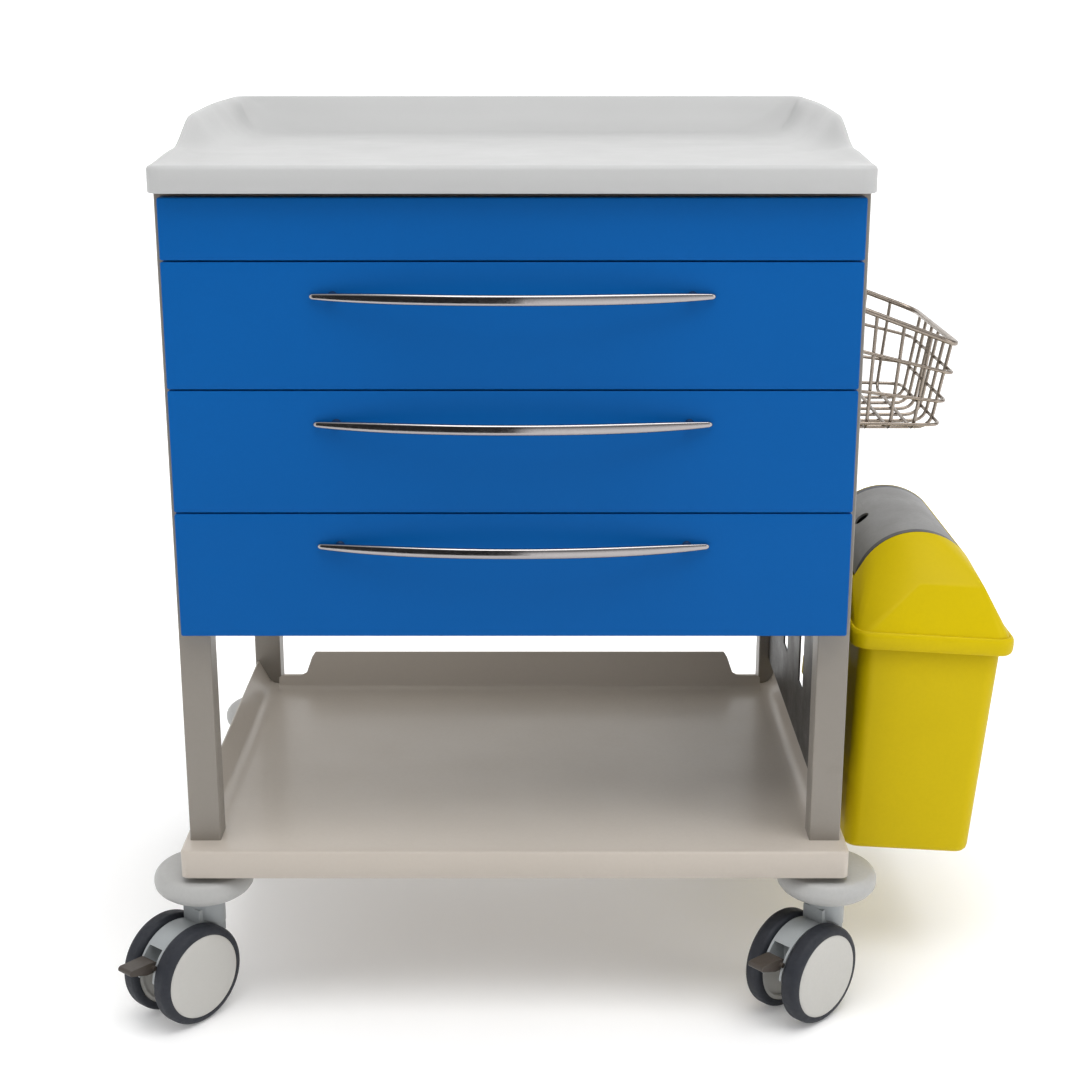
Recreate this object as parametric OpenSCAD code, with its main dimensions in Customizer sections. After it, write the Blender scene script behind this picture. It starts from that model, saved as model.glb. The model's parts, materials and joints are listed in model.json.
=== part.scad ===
/* [Cabinet] */
// Width of the drawer fronts
front_w = 624; // [600:1:640]
// Thickness of the drawer fronts
front_t = 18; // [14:1:20]
// Height of the lower edge of the bottom drawer above the floor
drawers_z = 399; // [390:1:410]
// Height of the bottom drawer front, with its gap
bottom_h = 120; // [110:1:125]
// Height of the middle drawer front, with its gap
middle_h = 115; // [110:1:125]
// Height of the top drawer front, with its gap
top_h = 116; // [110:1:125]
// Height of the fixed fascia above the drawers
fascia_h = 57; // [50:1:60]
// Gap between neighbouring fronts
front_gap = 2.5; // [2:0.5:4]
// Thickness of folded sheet steel
sheet = 1.5; // [1.2:0.1:2]

/* [Legs] */
// Side of the square leg tube
leg_w = 30; // [28:1:32]
// Wall thickness of the leg tube
leg_wall = 1.5; // [1.2:0.1:2]
// Distance from the cabinet's middle to the middle of a leg
leg_x = 303; // [300:0.5:304]
// Front face of the front legs
leg_front_y = 18; // [18:1:20]
// Distance between the front and rear legs, centre to centre
leg_pitch = 438; // [430:1:440]
// Lower end of the legs
leg_z = 150; // [150:1:151]

/* [Worktop] */
// Width of the moulded worktop
worktop_w = 638; // [636:1:642]
// Depth of the moulded worktop
worktop_d = 500; // [498:1:502]
// Front edge of the worktop, in front of the drawer fronts
worktop_front = 14; // [12:1:16]
// Height of the worktop's surface above the floor
worktop_z = 833; // [832:1:835]
// Height of the worktop's edge, below its surface
worktop_lip = 24; // [23:1:25]
// Height of the rim above the surface
rim_h = 37; // [30:1:40]
// Width of the rim
rim_w = 8; // [6:1:10]
// Wall thickness of the moulding
worktop_wall = 4; // [3:0.5:5]

/* [Drawers] */
// Length of the telescopic slides
slide_len = 440; // [430:1:445]
// Width taken by one slide
slide_w = 13; // [12.5:0.1:13]
// Depth of a drawer box
box_d = 434; // [420:1:436]
// Height of a drawer box's side
box_h = 82; // [70:1:84]
// Length of a bow handle
handle_len = 360; // [340:1:370]
// How far a bow handle stands out at its middle
handle_out = 27; // [24:1:29]
// Height of the handle bar
handle_bar_h = 10; // [8:1:11]

/* [Shelf] */
// Width of the lower shelf
shelf_w = 648; // [646:1:650]
// Depth of the lower shelf
shelf_d = 498; // [496:1:500]
// Height of the shelf's floor
shelf_z = 181; // [179:1:183]
// Height of the shelf's folded lip
shelf_lip = 28; // [26:1:28]
// Height of the shelf's sloped side walls
shelf_side_h = 29; // [25:1:32]
// Height of the shelf's rear upstand
shelf_back_h = 45; // [40:1:48]

/* [Casters] */
// Diameter of the wheels
wheel_d = 100; // [98:1:102]
// Distance from the cabinet's middle to a swivel axis
caster_x = 309; // [306:0.5:310]
// Width of one of the two wheels
wheel_w = 19; // [18:0.5:20]
// Inner faces of the two wheels, from the middle
wheel_in = 13.5; // [13.5:0.5:15]
// Distance from the swivel axis to the axle
trail = 34; // [32:1:36]
// Directions in which the four casters trail: front left, front right, rear left, rear right
headings = [231, 223, 226, 219]; // [200:1:250]
// Diameter of the round bumper
bumper_d = 98; // [94:1:100]

/* [Basket] */
// Width of the basket, along the cabinet's side
basket_l = 220; // [210:1:230]
// Depth of the basket's mouth, out from the cabinet
basket_out = 108; // [100:1:112]
// Height of the basket's floor
basket_z = 565; // [562:1:568]
// Height of the mouth at the cabinet's side
basket_back_z = 690; // [685:1:695]
// Height of the mouth at its outer edge
basket_front_z = 650; // [645:1:655]

/* [Waste bin] */
// Length of the bin's rim, along the cabinet's side
bin_l = 344; // [330:1:350]
// Width of the bin's rim, out from the cabinet
bin_w = 164; // [160:1:166]
// Height of the bin's body
bin_h = 228; // [222:1:232]
// Radius of the swinging flap
flap_r = 62; // [60:0.5:62]
// Half length of the swinging flap
flap_half = 94; // [85:1:98]
// Lean of the hanging bin, outwards, in degrees
bin_lean = 3.4; // [2:0.1:4]

/* [Hidden] */
$fn = 48;

// The cabinet's middle and front face, seen from the middle of the whole trolley with its bin
cabinet_at = [-53, -233, 0];

// Heights of the fronts: bottom drawer, middle drawer, top drawer, fascia
front_z = [
    drawers_z,
    drawers_z + bottom_h,
    drawers_z + bottom_h + middle_h,
    drawers_z + bottom_h + middle_h + top_h];
front_h = [bottom_h, middle_h, top_h, fascia_h];

leg_in = leg_x - leg_w / 2;
leg_out = leg_x + leg_w / 2;
leg_rear_y = leg_front_y + leg_pitch;
leg_back = leg_rear_y + leg_w;
leg_top = worktop_z - worktop_lip;
panel_y = [leg_front_y + leg_w, leg_rear_y];
panel_inset = 1.5;
panel_flange = 15;
back_inset = 7;

box_half_w = leg_in - slide_w;
box_lift = 14;
slide_lift = 55;
slide_y = leg_front_y + 4;
slide_sheet = 1.2;

handle_drop = 32;
handle_feet = 320;
handle_bar_t = 6;
handle_foot_r = 4.5;
handle_r = (pow(handle_len / 2, 2) + pow(handle_out - 4, 2)) / (2 * (handle_out - 4));
screw_r = 2;
screw_clear = 0.25;

shelf_front = 8;
shelf_wall_in = 300;
shelf_wall_out = 315;
shelf_back_lean = 20;
shelf_back_y = 436;

caster_y = [leg_front_y + leg_w / 2, leg_rear_y + leg_w / 2];
stem_r = 6;
axle_r = 4;
run_fit = 0.05;
bumper_z = 118;
bumper_top = 148;
neck_r = 19;
hood_half = 12;
hood_r = 46;
hood_cut = 4;
pedal_pivot = [77, 70];
pedal_len = 105;
pedal_half = 9;

basket_x = leg_out + 5;
basket_y = 133;
basket_low_in = 16;
basket_wire = 1.5;
basket_rim = 2.5;
basket_gap = 0.1;
basket_hook_z = 731;

bin_x = 329;
bin_y = 252;
bin_z = 133;
bin_wall = 2.5;
bin_low_w = 129;
bin_low_x = 9;
bin_low_l = 298;
bin_top_w = 142;
bin_top_l = 324;
bin_rim_h = 14;
flap_axis_z = bin_h + 37;
flap_axis_x = 62;
wall_x = flap_axis_x - flap_r - 3.2;
wall_top = 46;
crease_z = bin_h + 54;
crease_x = [62, 118];
crease_in = 34;
flap_t = 2.5;
flap_from = 50;
flap_to = 170;
grip_at = [133, 8];
flap_gap = 0.5;
carrier_z = [214, drawers_z + 100];
carrier_x = leg_in + 11;
carrier_t = 2;
hook_y = [-60, 60];
hook_w = 26;

function arc(c, r, a0, a1, n) =
    [for (i = [0:n]) c + r * [cos(a0 + (a1 - a0) * i / n), sin(a0 + (a1 - a0) * i / n)]];

// Outline of a rectangle with round corners, with its lower left corner at p
function round_rect(p, s, r, n = 6) = concat(
    arc([p.x + s.x - r, p.y + r], r, -90, 0, n),
    arc([p.x + s.x - r, p.y + s.y - r], r, 0, 90, n),
    arc([p.x + r, p.y + s.y - r], r, 90, 180, n),
    arc([p.x + r, p.y + r], r, 180, 270, n));

module slab(lo, hi) {
    translate(lo) cube(hi - lo);
}

// A box that is symmetric about the cabinet's middle plane
module wide_slab(half_w, y, z) {
    slab([-half_w, y[0], z[0]], [half_w, y[1], z[1]]);
}

module both_sides() {
    children();
    mirror([1, 0, 0]) children();
}

module along_y(y) {
    translate([0, y, 0]) rotate([90, 0, 0]) children();
}

/* Worktop */
module worktop() {
    color("gainsboro") {
        worktop_edge();
        worktop_rim();
    }
}

module worktop_plan(inset, corner) {
    polygon(round_rect([-worktop_w / 2 + inset, -worktop_front + inset],
        [worktop_w - 2 * inset, worktop_d - 2 * inset], corner));
}

module worktop_edge() {
    translate([0, 0, leg_top])
        difference() {
            linear_extrude(worktop_lip) worktop_plan(0, 14);
            translate([0, 0, -1])
                linear_extrude(worktop_lip - worktop_wall + 1) worktop_plan(worktop_wall, 10);
        }
}

// The rim starts at nothing at the front corners, rises in an S and then gently to its full height
module worktop_rim() {
    low = 0.2 * rim_h;
    high = 0.86 * rim_h;
    rise_from = 118;
    rise_to = 190;
    steps = 8;
    rise = concat(
        [[2, 0], [45, low / 2], [92, 0.9 * low]],
        [for (i = [0:steps])
            [rise_from + (rise_to - rise_from) * i / steps,
                low + (high - low) * (1 - cos(180 * i / steps)) / 2]],
        [[370, rim_h]]);
    translate([0, 0, worktop_z])
        intersection() {
            difference() {
                linear_extrude(rim_h) worktop_plan(0, 14);
                translate([0, 0, -1]) linear_extrude(rim_h + 2) worktop_plan(rim_w, 8);
            }
            rotate([90, 0, 90])
                linear_extrude(worktop_w + 2, center = true)
                    polygon(concat(rise, [[worktop_d, rim_h], [worktop_d, 0]]));
        }
}

module worktop_core() {
    color("burlywood")
        translate([0, 0, leg_top])
            linear_extrude(worktop_lip - worktop_wall) worktop_plan(worktop_wall + 2, 10);
}

/* Cabinet frame and panels */
module leg(x, y) {
    color("gray")
        translate([x, y, leg_z])
            difference() {
                translate([-leg_w / 2, 0, 0]) cube([leg_w, leg_w, leg_top - leg_z]);
                translate([-leg_w / 2 + leg_wall, leg_wall, -1])
                    cube([leg_w - 2 * leg_wall, leg_w - 2 * leg_wall, leg_top - leg_z + 2]);
            }
}

module top_frame() {
    rail_z = [leg_top - leg_w, leg_top];
    bore_z = [rail_z[0] + leg_wall, rail_z[1] - leg_wall];
    color("gray") {
        for (y = [leg_front_y, leg_rear_y])
            difference() {
                wide_slab(leg_in, [y, y + leg_w], rail_z);
                wide_slab(leg_in + 1, [y + leg_wall, y + leg_w - leg_wall], bore_z);
            }
        both_sides()
            difference() {
                slab([leg_in, panel_y[0], rail_z[0]], [leg_out, panel_y[1], rail_z[1]]);
                slab([leg_in + leg_wall, panel_y[0] - 1, bore_z[0]],
                    [leg_out - leg_wall, panel_y[1] + 1, bore_z[1]]);
            }
    }
}

// A sheet closes the side between two legs, and its upper and lower edges fold inwards
module side_panel(side) {
    x_out = leg_out - panel_inset;
    z = [drawers_z + 1, leg_top - leg_w];
    color("lightgray")
        scale([side, 1, 1]) {
            slab([x_out - sheet, panel_y[0], z[0]], [x_out, panel_y[1], z[1]]);
            for (fold = [z[0], z[1] - sheet])
                slab([x_out - panel_flange, panel_y[0], fold], [x_out, panel_y[1], fold + sheet]);
        }
}

module back_panel() {
    y_out = leg_back - back_inset;
    z = [drawers_z + 1, leg_top - leg_w];
    color("lightgray") {
        wide_slab(leg_in, [y_out - sheet, y_out], z);
        wide_slab(leg_in, [y_out - panel_flange, y_out], [z[1] - sheet, z[1]]);
    }
}

module cabinet_floor() {
    y = [leg_front_y + 2, leg_back - back_inset - sheet];
    color("lightgray") {
        wide_slab(leg_in, y, [drawers_z + 1, drawers_z + 1 + sheet]);
        wide_slab(leg_in, [y[0], y[0] + sheet], [drawers_z + 1, drawers_z + 10]);
    }
}

/* Lower shelf */
module shelf() {
    color("whitesmoke") {
        shelf_tray();
        shelf_side_walls();
        shelf_upstand();
    }
}

module shelf_tray() {
    y = [-shelf_front, shelf_d - shelf_front];
    half = shelf_w / 2;
    z = [shelf_z - shelf_lip, shelf_z];
    fit = 0.2;
    difference() {
        translate([0, 0, z[0]])
            linear_extrude(shelf_lip)
                polygon(round_rect([-half, y[0]], [shelf_w, shelf_d], 8));
        translate([0, 0, z[0] - 1])
            linear_extrude(shelf_lip - sheet + 1)
                polygon(round_rect([sheet - half, y[0] + sheet],
                    [shelf_w - 2 * sheet, shelf_d - 2 * sheet], 6.5));
        both_sides()
            for (leg_y = [leg_front_y, leg_rear_y])
                slab([leg_in - fit, leg_y - fit, z[0] - 1],
                    [leg_out + fit, leg_y + leg_w + fit, z[1] + 1]);
    }
}

module shelf_side_walls() {
    top_z = shelf_z + shelf_side_h;
    both_sides()
        along_y(panel_y[1] - 1)
            linear_extrude(panel_y[1] - panel_y[0] - 2)
                polygon([
                    [shelf_wall_in, shelf_z - sheet / 2],
                    [shelf_wall_in + sheet, shelf_z - sheet / 2],
                    [shelf_wall_out, top_z],
                    [shelf_wall_out - sheet, top_z]]);
}

module shelf_upstand() {
    half_top = 248;
    half_low = 258;
    low_h = 16;
    translate([0, shelf_back_y, shelf_z - sheet / 2])
        rotate([90 - shelf_back_lean, 0, 0])
            linear_extrude(sheet)
                polygon([
                    [-leg_in, 0], [leg_in, 0], [leg_in, low_h], [half_low, low_h],
                    [half_top, shelf_back_h], [-half_top, shelf_back_h],
                    [-half_low, low_h], [-leg_in, low_h]]);
}

/* Fronts and drawers */
// A front is a folded tray of sheet steel that is open at its back
module front(i) {
    z = [front_z[i], front_z[i] + front_h[i] - front_gap];
    half = front_w / 2;
    handle_z = front_z[i] + front_h[i] - handle_drop;
    color("royalblue")
        difference() {
            wide_slab(half, [0, front_t], z);
            wide_slab(half - sheet, [sheet, front_t + 1], [z[0] + sheet, z[1] - sheet]);
            if (i < 3)
                both_sides()
                    translate([handle_feet / 2, sheet + 1, handle_z])
                        rotate([90, 0, 0]) cylinder(h = sheet + 2, r = screw_r + screw_clear);
        }
}

module drawer_box(i) {
    z0 = front_z[i] + box_lift;
    handle_z = front_z[i] + front_h[i] - handle_drop;
    color("lightgray")
        difference() {
            wide_slab(box_half_w, [front_t, front_t + box_d], [z0, z0 + box_h]);
            wide_slab(box_half_w - sheet, [front_t + sheet, front_t + box_d - sheet],
                [z0 + sheet, z0 + box_h + 1]);
            both_sides()
                translate([handle_feet / 2, front_t + sheet + 1, handle_z])
                    rotate([90, 0, 0]) cylinder(h = sheet + 2, r = screw_r + screw_clear);
        }
}

// The bar of a handle follows a wide arc, and two feet join it to the front
module handle(i) {
    z = front_z[i] + front_h[i] - handle_drop;
    half_angle = asin(handle_len / 2 / handle_r);
    foot_y = sqrt(pow(handle_r, 2) - pow(handle_feet / 2, 2)) - handle_r + handle_out;
    color("silver")
        difference() {
            union() {
                translate([0, handle_r - handle_out, z])
                    rotate([0, 0, -90 - half_angle])
                        rotate_extrude(angle = 2 * half_angle, $fn = 180)
                            translate([handle_r - handle_bar_t / 2, -handle_bar_h / 2])
                                square([handle_bar_t, handle_bar_h]);
                both_sides()
                    translate([handle_feet / 2, 0, z])
                        rotate([90, 0, 0]) cylinder(h = foot_y, r = handle_foot_r);
            }
            both_sides()
                translate([handle_feet / 2, 1, z])
                    rotate([90, 0, 0]) cylinder(h = 8, r = screw_r + run_fit);
        }
}

module handle_screws(i) {
    z = front_z[i] + front_h[i] - handle_drop;
    color("silver")
        both_sides()
            translate([handle_feet / 2, 0, z]) {
                translate([0, front_t + sheet + 2.4, 0])
                    rotate([90, 0, 0]) cylinder(h = 2.4, r = 4);
                translate([0, front_t + sheet, 0])
                    rotate([90, 0, 0]) cylinder(h = front_t + sheet + 6, r = screw_r);
            }
}

/* Telescopic slides */
// Section of one slide member, seen along its length, measured inwards from the leg
module slide_member(web_x, lip_x, half_h) {
    x = [min(web_x, lip_x), max(web_x, lip_x)];
    web = web_x < lip_x ? [web_x, web_x + slide_sheet] : [web_x - slide_sheet, web_x];
    translate([web[0], -half_h]) square([slide_sheet, 2 * half_h]);
    for (z = [-half_h, half_h - slide_sheet])
        translate([x[0], z]) square([x[1] - x[0], slide_sheet]);
}

module slide_member_run(i, web_x, lip_x, half_h) {
    both_sides()
        translate([leg_in, 0, front_z[i] + slide_lift])
            mirror([1, 0, 0])
                along_y(slide_y + slide_len)
                    linear_extrude(slide_len) slide_member(web_x, lip_x, half_h);
}

module slide_outer_rails() {
    color("silver")
        for (i = [0:2]) slide_member_run(i, 0, 9.5, 22);
}

module slide_middle_rails(i) {
    color("silver") slide_member_run(i, 3.5, 11, 18.6);
}

module slide_inner_rails(i) {
    color("silver") slide_member_run(i, slide_w, 6.5, 15.2);
}

/* Casters */
module caster_places() {
    for (x = [-caster_x, caster_x])
        for (y = caster_y)
            translate([x, y, 0]) children();
}

// Places a caster's own piece: the wheels trail along its +X
module at_caster(side, row) {
    i = row * 2 + (side > 0 ? 1 : 0);
    translate([side * caster_x, caster_y[row], 0])
        rotate([0, 0, headings[i]])
            children();
}

module caster_stems() {
    color("silver")
        caster_places() {
            translate([0, 0, 94]) cylinder(h = leg_z + 34 - 94, r = stem_r);
            translate([0, 0, leg_z]) cylinder(h = 34, r = stem_r + 1.2);
        }
}

module caster_bumpers() {
    widest = bumper_d / 2;
    profile = concat(
        [[stem_r, bumper_z], [neck_r + 2, bumper_z]],
        [for (a = [0:15:90]) [neck_r + 2 + (widest - neck_r - 2) * sin(a),
            bumper_z + 16 - 16 * cos(a)]],
        arc([widest - 12, bumper_z + 18], 12, 0, 60, 4),
        [[neck_r + 4, bumper_top], [stem_r, bumper_top]]);
    color("darkgray")
        caster_places()
            rotate_extrude($fn = 64) polygon(profile);
}

module caster_hood(side, row) {
    axle_z = wheel_d / 2;
    color("lightgray")
        at_caster(side, row)
            difference() {
                union() {
                    intersection() {
                        translate([trail, hood_half, axle_z])
                            rotate([90, 0, 0]) cylinder(h = 2 * hood_half, r = hood_r, $fn = 96);
                        slab([-40, -hood_half, axle_z + hood_cut], [120, hood_half, 120]);
                    }
                    slab([-neck_r + 5, -hood_half, axle_z + 26], [neck_r, hood_half, 108]);
                    translate([0, 0, 88]) cylinder(h = bumper_z - 88 - 0.5, r = neck_r);
                    translate([trail, hood_half, axle_z])
                        rotate([90, 0, 0]) cylinder(h = 2 * hood_half, r = 13);
                }
                translate([0, 0, 60]) cylinder(h = 70, r = stem_r + run_fit);
                translate([trail, hood_half + 1, axle_z])
                    rotate([90, 0, 0]) cylinder(h = 2 * hood_half + 2, r = axle_r);
                slab([trail + 16, -pedal_half - 0.4, 0], [130, pedal_half + 0.4, 84]);
                translate([pedal_pivot.x, hood_half + 1, pedal_pivot.y])
                    rotate([90, 0, 0]) cylinder(h = 2 * hood_half + 2, r = 2.5 + run_fit);
                wheel_clearance();
            }
}

// The neck is wider than the space between the wheels, so it stops above them
module wheel_clearance() {
    translate([trail, 0, wheel_d / 2])
        for (s = [-90, 90])
            rotate([s, 0, 0])
                translate([0, 0, wheel_in - 1]) cylinder(h = wheel_w, r = wheel_d / 2 + 1, $fn = 96);
}

module caster_axle(side, row) {
    color("silver")
        at_caster(side, row)
            translate([trail, wheel_in + wheel_w - 4, wheel_d / 2])
                rotate([90, 0, 0]) cylinder(h = 2 * (wheel_in + wheel_w - 4), r = axle_r);
}

// Each wheel is turned about the axle, and its outer face looks away from the hood
module wheel_pair(side, row) {
    at_caster(side, row)
        translate([trail, 0, wheel_d / 2])
            for (s = [-90, 90])
                rotate([s, 0, 0])
                    translate([0, 0, wheel_in]) children();
}

module tyres(side, row) {
    r = wheel_d / 2;
    color("darkslategray")
        wheel_pair(side, row)
            rotate_extrude($fn = 96)
                polygon(concat(
                    [[r - 8, 0], [r - 5, 0]],
                    arc([r - 5, 5], 5, -60, 0, 4),
                    arc([r - 7, wheel_w - 7], 7, 0, 75, 5),
                    [[r - 8, wheel_w]]));
}

module wheel_discs(side, row) {
    r = wheel_d / 2 - 8;
    face = wheel_w + 1.5;
    color("lightgray")
        wheel_pair(side, row)
            rotate_extrude($fn = 96)
                polygon([
                    [axle_r + run_fit, 0], [12, 0], [12, 4], [r - 4, 4], [r - 4, 1], [r, 1],
                    [r, wheel_w - 0.5], [r - 1.5, wheel_w + 0.6], [r - 10, face],
                    [0, face], [0, wheel_w - 3], [axle_r + run_fit, wheel_w - 3]]);
}

module brake_pedal(side, row) {
    z = pedal_pivot.y;
    color("dimgray")
        at_caster(side, row) {
            translate([pedal_pivot.x, hood_half, z])
                rotate([90, 0, 0]) cylinder(h = 2 * hood_half, r = 2.5);
            translate([0, pedal_half, 0])
                rotate([90, 0, 0])
                    linear_extrude(2 * pedal_half)
                        polygon(concat(
                            arc([pedal_pivot.x, z], 6, 90, 250, 8),
                            [[pedal_pivot.x + 8, z - 5], [pedal_len - 3, z + 1]],
                            arc([pedal_len - 3, z + 4], 3, -90, 90, 6)));
        }
}

/* Wire basket */
function rim_z(x) = basket_back_z - (basket_back_z - basket_front_z) * (x - basket_x) / basket_out;

module wire_basket() {
    color("silver") {
        basket_mouth();
        basket_hoops();
        basket_rings();
        basket_hangers();
    }
}

// Straight lengths of wire join at each bend
module wire_run(points, r) {
    for (i = [0:len(points) - 2])
        rod(points[i], points[i + 1], r);
}

module rod(p, q, r) {
    d = q - p;
    len = norm(d);
    lap = r / 2;
    translate(p - d * lap / len)
        rotate([0, acos(d.z / len), atan2(d.y, d.x)])
            cylinder(h = len + 2 * lap, r = r, $fn = 8);
}

module basket_mouth() {
    x = [basket_x, basket_x + basket_out];
    y = [basket_y, basket_y + basket_l];
    wire_run([
        [x[0], y[0], basket_back_z], [x[1], y[0], basket_front_z],
        [x[1], y[1], basket_front_z], [x[0], y[1], basket_back_z],
        [x[0], y[0], basket_back_z]], basket_rim);
}

// Hoops run down one wall, across the floor and up the wall opposite
module basket_hoops() {
    low = basket_low_in;
    y = [basket_y, basket_y + basket_l];
    for (i = [1:3]) {
        x = basket_x + (basket_out - low) * i / 4;
        top_x = x + low * i / 4;
        wire_run([
            [top_x, y[0], rim_z(top_x)], [x, y[0] + low / 2, basket_z],
            [x, y[1] - low / 2, basket_z], [top_x, y[1], rim_z(top_x)]], basket_wire);
    }
    for (i = [1:6]) {
        t = basket_y + basket_l * i / 7;
        b = basket_y + low / 2 + (basket_l - low) * i / 7;
        z = basket_z - 2 * basket_wire - basket_gap;
        wire_run([
            [basket_x, t, basket_back_z], [basket_x, b, z],
            [basket_x + basket_out - low, b, z], [basket_x + basket_out, t, basket_front_z]],
            basket_wire);
    }
}

// Rings run round the hoops between the basket's floor and its mouth
module basket_rings() {
    out = 2 * basket_wire + basket_gap;
    for (t = [0.06, 1 / 3, 2 / 3]) {
        low = basket_low_in * (1 - t);
        x = [basket_x - out, basket_x + basket_out - low + out];
        y = [basket_y + low / 2 - out, basket_y + basket_l - low / 2 + out];
        z = [basket_z + (basket_back_z - basket_z) * t, basket_z + (basket_front_z - basket_z) * t];
        wire_run([
            [x[0], y[0], z[0]], [x[1], y[0], z[1]], [x[1], y[1], z[1]],
            [x[0], y[1], z[0]], [x[0], y[0], z[0]]], basket_wire);
    }
}

module basket_hangers() {
    for (y = [basket_y, basket_y + basket_l])
        wire_run([[basket_x, y, basket_back_z], [basket_x, y, basket_hook_z]], basket_rim);
}

module basket_screws() {
    color("silver")
        for (y = [basket_y, basket_y + basket_l])
            translate([leg_out - panel_inset, y, basket_hook_z + basket_rim + 2.2])
                rotate([0, 90, 0]) {
                    cylinder(h = 9, r = 2.2);
                    translate([0, 0, 9]) cylinder(h = 2.5, r = 4.5);
                }
}

/* Waste bin */
// The bin's own frame starts at the lower edge of its wall next to the cabinet
module at_bin() {
    translate([bin_x, bin_y, bin_z])
        rotate([0, bin_lean, 0])
            children();
}

module bin_layer(w, l, z, h, r, x0 = undef) {
    left = is_undef(x0) ? (bin_top_w - w) / 2 : x0;
    translate([0, 0, z])
        linear_extrude(h) polygon(round_rect([left, -l / 2], [w, l], r, 5));
}

module bin_shell(inset, z0, z1) {
    hull() {
        bin_layer(bin_low_w - 2 * inset, bin_low_l - 2 * inset, z0, 0.1, 14, bin_low_x + inset);
        bin_layer(bin_top_w - 2 * inset, bin_top_l - 2 * inset, z1 - 0.1, 0.1, 14);
    }
}

module bin_body() {
    color("gold")
        at_bin() {
            difference() {
                bin_shell(0, 0, bin_h - 1);
                bin_shell(bin_wall, bin_wall, bin_h + 1);
            }
            bin_hooks();
        }
}

// Moulded hooks reach through the carrier's slots and drop behind it
module bin_hooks() {
    drop = 16;
    arm_z = bin_h - 60;
    back = carrier_x - bin_x - 6;
    for (y = hook_y) {
        slab([back, y - hook_w / 2, arm_z], [bin_wall + 1.5, y + hook_w / 2, arm_z + 4]);
        slab([back, y - hook_w / 2, arm_z - drop], [back + 3, y + hook_w / 2, arm_z + 4]);
    }
}

// The hood rises from its rim over a sloped skirt with a crease to a round crown,
// and a flat wall on the cabinet's side leaves room for the flap's travel
module hood_form(inset) {
    w = bin_w - 2 * inset;
    l = bin_l - 2 * inset;
    hull() {
        bin_layer(w, l, bin_h + inset * 0.2, 4, 16);
        bin_layer(w - 8, l - 6, bin_h + bin_rim_h, 1, 16);
        translate([crease_x[0] + inset, crease_in - l / 2, crease_z - inset])
            cube([crease_x[1] - crease_x[0] - 2 * inset, l - 2 * crease_in, 0.1]);
        slab([wall_x + inset, inset - flap_half - 2.2, bin_h + bin_rim_h],
            [flap_axis_x, flap_half + 2.2 - inset, bin_h + wall_top - inset]);
        translate([flap_axis_x, flap_half + 2.2 - inset, flap_axis_z])
            rotate([90, 0, 0])
                cylinder(h = 2 * (flap_half + 2.2 - inset), r = flap_r + 0.4 - inset, $fn = 48);
    }
}

module bin_hood() {
    opening = flap_r + flap_gap;
    color("gold")
        at_bin()
            difference() {
                union() {
                    difference() {
                        hood_form(0);
                        hood_form(bin_wall);
                        bin_layer(bin_top_w + 0.6, bin_top_l + 0.6, bin_h - 3, 6, 14);
                        slab([-bin_w, -bin_l, bin_h - flap_r], [2 * bin_w, bin_l, bin_h]);
                    }
                    hood_bearings();
                }
                intersection() {
                    translate([flap_axis_x, flap_half + flap_gap, flap_axis_z])
                        rotate([90, 0, 0])
                            cylinder(h = 2 * (flap_half + flap_gap), r = opening + 30, $fn = 96);
                    translate([0, flap_half + flap_gap, 0])
                        rotate([90, 0, 0])
                            linear_extrude(2 * (flap_half + flap_gap)) flap_sector(opening + 40, 2);
                }
                translate([flap_axis_x, flap_half + 10, flap_axis_z])
                    rotate([90, 0, 0]) cylinder(h = 2 * (flap_half + 10), r = 4 + run_fit);
            }
}

// Two walls under the roof carry the flap's pins
module hood_bearings() {
    for (y = [-flap_half - 3.5, flap_half + 0.5])
        intersection() {
            hood_form(0.4);
            slab([flap_axis_x - 62, y, flap_axis_z - 12], [flap_axis_x + 62, y + 3, flap_axis_z + 80]);
        }
}

module flap_sector(r, spread) {
    translate([flap_axis_x, flap_axis_z])
        polygon(concat([[0, 0]], arc([0, 0], r, flap_from - spread, flap_to + spread, 12)));
}

module bin_flap() {
    color("gray")
        at_bin() {
            translate([0, flap_half, 0])
                rotate([90, 0, 0])
                    difference() {
                        linear_extrude(2 * flap_half)
                            intersection() {
                                difference() {
                                    translate([flap_axis_x, flap_axis_z]) circle(r = flap_r, $fn = 96);
                                    translate([flap_axis_x, flap_axis_z])
                                        circle(r = flap_r - flap_t, $fn = 96);
                                }
                                flap_sector(flap_r + 20, 0);
                            }
                        flap_grip();
                    }
            flap_cheeks();
        }
}

// A round finger hole near the flap's edge on the cabinet's side
module flap_grip() {
    translate([flap_axis_x, flap_axis_z, flap_half - grip_at[1]])
        rotate([0, 90, grip_at[0]])
            translate([0, 0, flap_r - 10]) cylinder(h = 20, r = 9);
}

module flap_cheeks() {
    for (y = [flap_half, -flap_half + 2.5])
        along_y(y)
            linear_extrude(2.5) {
                translate([flap_axis_x, flap_axis_z]) circle(r = 12);
                intersection() {
                    translate([flap_axis_x, flap_axis_z]) circle(r = flap_r - flap_t / 2, $fn = 96);
                    flap_sector(flap_r + 20, 0);
                }
            }
    for (s = [-1, 1])
        translate([flap_axis_x, s * (flap_half + 1.7) + 1.8, flap_axis_z])
            rotate([90, 0, 0]) cylinder(h = 3.6, r = 4);
}

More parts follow.
